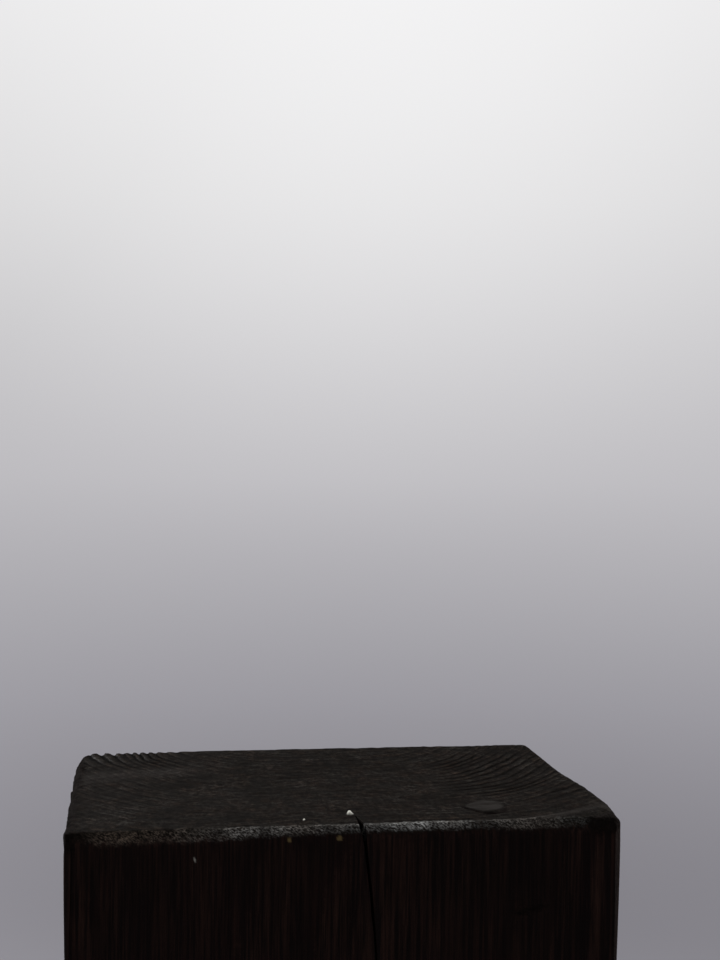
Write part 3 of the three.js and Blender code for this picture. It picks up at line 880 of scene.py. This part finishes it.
def end_grain_colour(tree, p):
    """Drier and greyer, with brown clouds, darkest in the soft early wood."""
    ruddy = mix(tree, ramp(tree, p.warm, (0.42, 0.0), (0.6, 1.0)), *END_HARD)
    hard = mix(tree, ramp(tree, p.scuff, (0.38, 0.0), (0.62, 1.0)), END_HARD_DARK, ruddy)
    colour = mix(tree, p.hard, mix(tree, p.pore, *END_SOFT), hard)
    colour = mix(tree, times(tree, p.dry, 0.75), colour, mix(tree, p.scuff, *END_DRY))
    return mix(tree, times(tree, p.split, 0.8), colour, SPLIT)


def torn_fibre_glint_colour(tree, p):
    """Torn fibres of the front edge, painted as their highlights: brown at the left end, pale grey towards
    the middle and right.
    """
    across = add(tree, "SeparateXYZ", {0: own_place(tree)}).outputs[0]
    greyer = remap(tree, across, -95 * MM, -40 * MM, 0.15, 1.0)
    return mix(tree, times(tree, greyer, ramp(tree, p.blotch, (0.4, 0.55), (0.55, 1.0))), *TORN_FIBRE_GLINTS)


def timber_height(tree, p):
    """Fine relief: fibres on the sides; rings, scuffs, pores and splits on top; torn and damaged edges."""
    end = plus(tree, times(tree, p.late, p.carve, 0.5), times(tree, p.scuff, 2.2))
    end = minus(tree, plus(tree, end, times(tree, p.pore, 0.5)), times(tree, p.split, 0.8))
    end = times(tree, end, minus(tree, 1.0, p.flake))
    height = blend(tree, p.end_grain, times(tree, p.fibre, 0.7), end)
    torn, ragged = times(tree, p.strokes, p.front_wear, 1.2), times(tree, p.scuff, p.pooled, 5.0)
    return plus(tree, height, plus(tree, torn, ragged))


def timber_material():
    made, tree, surface = new_material("stained_timber")
    p = timber_patterns(tree)
    colour = mix(tree, p.end_grain, long_grain_colour(tree, p), end_grain_colour(tree, p))
    colour = mix(tree, times(tree, p.front_wear, 0.8), colour, BRUISED)
    # painted highlights: the glints of the torn fibres along the worn front edge
    colour = mix(tree, p.lit, colour, torn_fibre_glint_colour(tree, p))
    # darker marks: soaked stain, and painted shadow at the flake's rim
    colour = mix(tree, p.pooled, colour, mix(tree, p.scuff, *STAIN_AND_SHADOW))
    for mask, tint in ((p.flake, FLAKE_STAIN), (p.raw_wood, RAW_WOOD), (p.plaster, PLASTER)):
        colour = mix(tree, mask, colour, tint)
    dull = blend(tree, p.end_grain, blend(tree, p.scuff, 0.55, 0.85), blend(tree, p.hard, 0.96, 0.42))
    for mask, roughness in ((p.lit, 0.34), (p.pooled, 1.0), (p.flake, 0.55)):
        dull = blend(tree, mask, dull, roughness)
    fit(tree, surface, colour, dull, timber_height(tree, p), 0.8, 0.4 * MM)
    surface.inputs["Specular IOR Level"].default_value = 0.0065
    return made


def zinc_material():
    """Bright zinc plate: fine spangle, handling marks, a faint blue cast."""
    made, tree, surface = new_material("zinc_steel")
    cloud, fine = grain(tree, 180), grain(tree, 1500, 3)
    colour = mix(tree, cloud, (0.50, 0.51, 0.53), (0.66, 0.66, 0.65))
    fit(tree, surface, colour, ramp(tree, cloud, (0.3, 0.24), (0.75, 0.46)), fine, 0.3, 0.05 * MM)
    surface.inputs["Metallic"].default_value = 1.0
    return made


def coated_steel_material(name, rough_low, rough_high, texture, strength):
    """Black coat over steel: orange peel or fine texture, dust in the hollows."""
    made, tree, surface = new_material(name)
    peel, dust = grain(tree, texture, 3), grain(tree, 60, 5)
    dusty = ramp(tree, dust, (0.45, 0.0), (0.8, 1.0))
    colour = mix(tree, dusty, (0.0100, 0.0100, 0.0105), (0.0260, 0.0250, 0.0240))
    rough = ramp(tree, dust, (0.3, rough_low), (0.7, rough_high))
    fit(tree, surface, colour, rough, peel, strength, 0.08 * MM)
    return made


def rubber_material():
    """Dull black rubber with floor dust on it."""
    made, tree, surface = new_material("rubber")
    fine, dust = grain(tree, 1300, 3), grain(tree, 90, 5)
    dusty = ramp(tree, dust, (0.5, 0.0), (0.85, 1.0))
    colour = mix(tree, dusty, (0.0110, 0.0110, 0.0110), (0.0450, 0.0440, 0.0420))
    fit(tree, surface, colour, ramp(tree, dust, (0.3, 0.72), (0.7, 0.88)), fine, 0.4, 0.06 * MM)
    return made


FINISHES = {
    "stained_timber": timber_material(),
    "zinc_steel": zinc_material(),
    "black_steel": coated_steel_material("black_steel", 0.5, 0.68, 900, 0.6),
    "foot_steel": coated_steel_material("foot_steel", 0.32, 0.5, 500, 0.25),
    "rubber": rubber_material(),
}


# ---- Masks painted on the post ----

def spots(places, u, v, points):
    """1 inside small ragged spots and 0 outside, in a face's own u and v."""
    mask = np.zeros(len(u))
    for at, off, radius in places:
        ragged = 1 + 0.2 * noise(points, 0.9 * MM, 41)
        distance = np.hypot(u - at * MM, v - off * MM) / (radius * MM * ragged)
        mask = np.maximum(mask, 1 - smooth(distance, 0.7, 1.15))
    return mask


def torn_band(co, ragged):
    """Strength of the torn fibres and of their painted highlights along the worn front edge."""
    x, drop, inward = co[:, 0], TOP - co[:, 2], co[:, 1] + HALF_D
    band = 1 - smooth(drop / wear_drop(x) + 0.25 * ragged, 0.6, 1.0)
    band *= 1 - smooth(inward + 1.3 * MM * ragged, 2.8 * MM, 5.2 * MM)
    band *= 0.55 + 0.45 * smooth(noise(co, (13 * MM, 40 * MM, 40 * MM), 43), -0.5, 0.3)
    place, strength = np.array(FRONT_FIBRES_AND_GLINTS).T
    return band * np.interp(x, place * MM, strength)


def soaked_stain_and_shadow(co, ragged):
    """Darker marks: stain soaked into two top edges and the front right arris, a painted shadow along the
    near side of the flake's rim, and darker in the gouge.
    """
    x, y, z = co.T
    drop, inward = TOP - z, y + HALF_D
    corner = smooth(0.7 * (x - 113 * MM) - inward + 2 * MM * ragged, -2.5 * MM, 4 * MM)
    corner *= 1 - smooth(drop, 5 * MM, 9 * MM)
    arris = smooth(x, HALF_W - 3 * MM, HALF_W - 1 * MM) * (1 - smooth(inward, 2 * MM, 5 * MM))
    arris *= 0.8 * (1 - smooth(drop, 100 * MM, 180 * MM))
    rim = flake_distance(x, y)
    # painted shadow: a dark crescent along the near side of the flake's rim
    crescent = smooth(rim, 0.92, 1.0) * (1 - smooth(rim, 1.05, 1.22))
    crescent *= flake_near_side(x, y, 5 * MM) * (drop < 3 * MM)
    dent = 0.8 * smooth(gouge_depth(x, y, z), 0.2 * MM, 0.7 * MM)
    left_edge = smooth(-x + 1.5 * MM * ragged, HALF_W - 4.5 * MM, HALF_W - 0.8 * MM)
    left_edge *= 1 - smooth(drop, 6 * MM, 12 * MM)
    return 0.9 * np.maximum.reduce([corner, arris, crescent, dent, left_edge])


def ray_vectors(co):
    """Direction from the pith, and a hundred times the distance from it, for the splits along the rays."""
    ray = np.zeros((len(co), 3), np.float32)
    ray[:, :2] = co[:, :2] - np.array(PITH)
    ray[:, 2] = np.hypot(ray[:, 0], ray[:, 1])
    ray[:, :2] /= np.maximum(ray[:, 2:], 1 * MM)
    ray[:, 2] *= 100
    return ray


def paint_post(mesh):
    """Stores on the post's points what its material reads."""
    co = np.empty(len(mesh.vertices) * 3, np.float32)
    mesh.vertices.foreach_get("co", co)
    co = co.reshape(-1, 3).astype(float)
    x, y, z = co.T
    drop, inward, count = TOP - z, y + HALF_D, ring_number(co)
    on_top, on_front = drop < 3 * MM, inward < 3 * MM
    ragged = noise(co, 1.6 * MM, 49, 2)
    masks = {
        "ring": count,
        "carve": end_wear(co, count),
        "end_grain": 1 - smooth(drop, 1.6 * MM, 5.5 * MM),
        "front_wear": torn_band(co, ragged),
        "pooled": soaked_stain_and_shadow(co, ragged),
        "dry": dry_patches(x, y) * (drop < 4 * MM),
        "flake": (1 - smooth(flake_distance(x, y), 0.78, 1.0)) * on_top,
        "raw_wood": spots(RAW_NICKS, x, drop, co) * on_front,
        "plaster": np.maximum(spots(PLASTER_SPECKS, x, inward, co) * on_top,
                              spots(FRONT_SPECKS, x, drop, co) * on_front),
    }
    for name, values in masks.items():
        mesh.attributes.new(name, "FLOAT", "POINT").data.foreach_set("value", np.asarray(values, np.float32))
    rays = mesh.attributes.new("ray", "FLOAT_VECTOR", "POINT")
    rays.data.foreach_set("vector", ray_vectors(co).reshape(-1))


# ---- The pieces ----

def make_timber():
    points, faces, rim = post_mesh()
    mesh = bpy.data.meshes.new("stained_post")
    mesh.from_pydata(points, [], faces)
    bm = bmesh.new()
    bm.from_mesh(mesh)
    bm.verts.ensure_lookup_table()
    add_underside(bm, [bm.verts[i] for i in rim])
    bm.to_mesh(mesh)
    bm.free()
    paint_post(mesh)
    finish_piece("stained_post", mesh, "root", "stained_timber", "timber_post", sharp=50)


make_timber()
for corner in CORNERS:
    make_nut(f"levelling_nut_{corner}", f"foot_nut_{corner}")
    make_nut(f"thin_lock_nut_{corner}", f"lock_nut_{corner}")
    make_spindle(corner)
    make_base(corner)
    make_pad(corner)
for node, piece in frame["nodes"].items():
    finish = next(part["material_slot"] for part in frame["record"]["subparts"] if part["node"] == node)
    piece.data.materials.clear()
    piece.data.materials.append(FINISHES[finish])


# ---- Studio ----

FLOOR_RADIUS, SWEEP, WALL_TOP = 2.6, 1.6, 6.0


def paper_material():
    """Paper, paler near the plinth and darker farther out. It glows as painted light: grey low on the wall up
    to near white higher up, with a brighter spot behind the plinth, and dimmer towards -Y.
    """
    made, tree, surface = new_material("studio_paper")
    surface.inputs["Roughness"].default_value = 0.9
    surface.inputs["Specular IOR Level"].default_value = 0.1
    place = own_place(tree)
    _, y, z = add(tree, "SeparateXYZ", {0: place}).outputs
    centre = add(tree, "VectorMath", {0: place}, operation="LENGTH").outputs["Value"]
    near_plinth = remap(tree, centre, 0.7, 2.3, 1.0, 0.0, "SMOOTHSTEP")
    paper = mix(tree, near_plinth, (0.065, 0.064, 0.068), (0.20, 0.198, 0.202))
    # painted light: a brighter glowing spot on the wall behind the plinth
    glow_spot_distance = add(tree, "VectorMath", {0: place, 1: (0.7, 4.2, 3.0)}, operation="DISTANCE").outputs["Value"]
    glow = remap(tree, glow_spot_distance, 0.0, 2.3, 0.5, 0.0, "SMOOTHSTEP")
    # painted light: the wall's glow, darker near the floor and lighter higher up
    wall = ramp(tree, remap(tree, z, 0.0, 2.8, 0.0, 1.0), (0.0, (0.068, 0.064, 0.078)),
                (0.14, (0.215, 0.209, 0.231)), (0.38, (0.435, 0.427, 0.445)), (0.73, (0.645, 0.640, 0.645)),
                (1.0, (0.77, 0.765, 0.77)))
    tree.links.new(paper, surface.inputs["Base Color"])
    tree.links.new(mix(tree, glow, wall, (0.93, 0.93, 0.93)), surface.inputs["Emission Color"])
    # painted light: the glow is dimmer towards -Y
    tree.links.new(remap(tree, y, -3.0, 1.5, 0.35, 1.0), surface.inputs["Emission Strength"])
    return made


def make_bowl():
    """Floor that sweeps up all round into a wall."""
    profile = [(0.001, 0.0), (0.6, 0.0), (1.4, 0.0), (FLOOR_RADIUS, 0.0)]
    for k in range(1, 25):
        turn = k / 24 * math.pi / 2
        profile.append((FLOOR_RADIUS + SWEEP * math.sin(turn), SWEEP * (1 - math.cos(turn))))
    profile.append((FLOOR_RADIUS + SWEEP, WALL_TOP))
    points, faces = skin(rings_of(profile, 0, 0, 96), closed=False)
    mesh = bpy.data.meshes.new("studio_bowl")
    mesh.from_pydata(points, [], faces[:-1])
    mesh.polygons.foreach_set("use_smooth", np.ones(len(mesh.polygons), bool))
    bowl = place_object("studio_bowl", mesh)
    bowl.data.materials.append(paper_material())


def make_light(name, place, target, size, power, cone=None):
    """A soft round panel, or with a cone angle a spotlight that fades to nothing at the cone's edge."""
    lamp = bpy.data.lights.new(name, "SPOT" if cone else "AREA")
    lamp.energy = power
    if cone:
        lamp.spot_size, lamp.spot_blend, lamp.shadow_soft_size = cone, 1.0, size / 2
    else:
        lamp.shape, lamp.size = "DISK", size
    light = place_object(name, lamp)
    light.location = place
    light.rotation_mode = "QUATERNION"
    light.rotation_quaternion = (Vector(target) - Vector(place)).to_track_quat("-Z", "Y")


def make_camera():
    """Just above the top and a little left, turned slightly to the right and tilted."""
    yaw, pitch, roll = -9.217 * DEG, -1.356 * DEG, 0.807 * DEG
    forward = Vector((-math.sin(yaw) * math.cos(pitch), math.cos(yaw) * math.cos(pitch), math.sin(pitch)))
    level = Vector((math.cos(yaw), math.sin(yaw), 0))
    upright = level.cross(forward)
    right = math.cos(roll) * level + math.sin(roll) * upright
    up = -math.sin(roll) * level + math.cos(roll) * upright
    lens = bpy.data.cameras.new("camera")
    lens.lens, lens.sensor_width = 51.75, 36
    lens.clip_start, lens.clip_end = 0.02, 50
    camera = place_object("camera", lens)
    place = Vector((-0.1006, -HALF_D - 0.6296, TOP + 0.1759))
    turn = Matrix((right, up, -forward)).transposed().to_4x4()
    camera.matrix_world = Matrix.Translation(place) @ turn
    bpy.context.scene.camera = camera


make_bowl()
make_light("overhead", (-0.25, 0.55, 3.6), (0, 0.1, 1.0), 1.8, 5)
make_light("key", (-0.7, -1.2, 3.5), (0, 0, 1.0), 1.2, 24)
make_light("right", (3.0, 1.0, 1.9), (0, 0, 0.6), 1.4, 230)
make_light("left_back", (-2.2, 2.5, 1.9), (0, 0, 0.6), 1.4, 260)
make_light("low_front", (-0.8, -2.6, 1.3), (0, -HALF_D, 0.3 * TOP), 0.3, 640, cone=22 * DEG)
make_camera()
world = bpy.data.worlds.new("room")
world.use_nodes = True
world.node_tree.nodes["Background"].inputs["Color"].default_value = (0.02, 0.02, 0.022, 1)
bpy.context.scene.world = world
bpy.context.scene.view_settings.view_transform = "Standard"
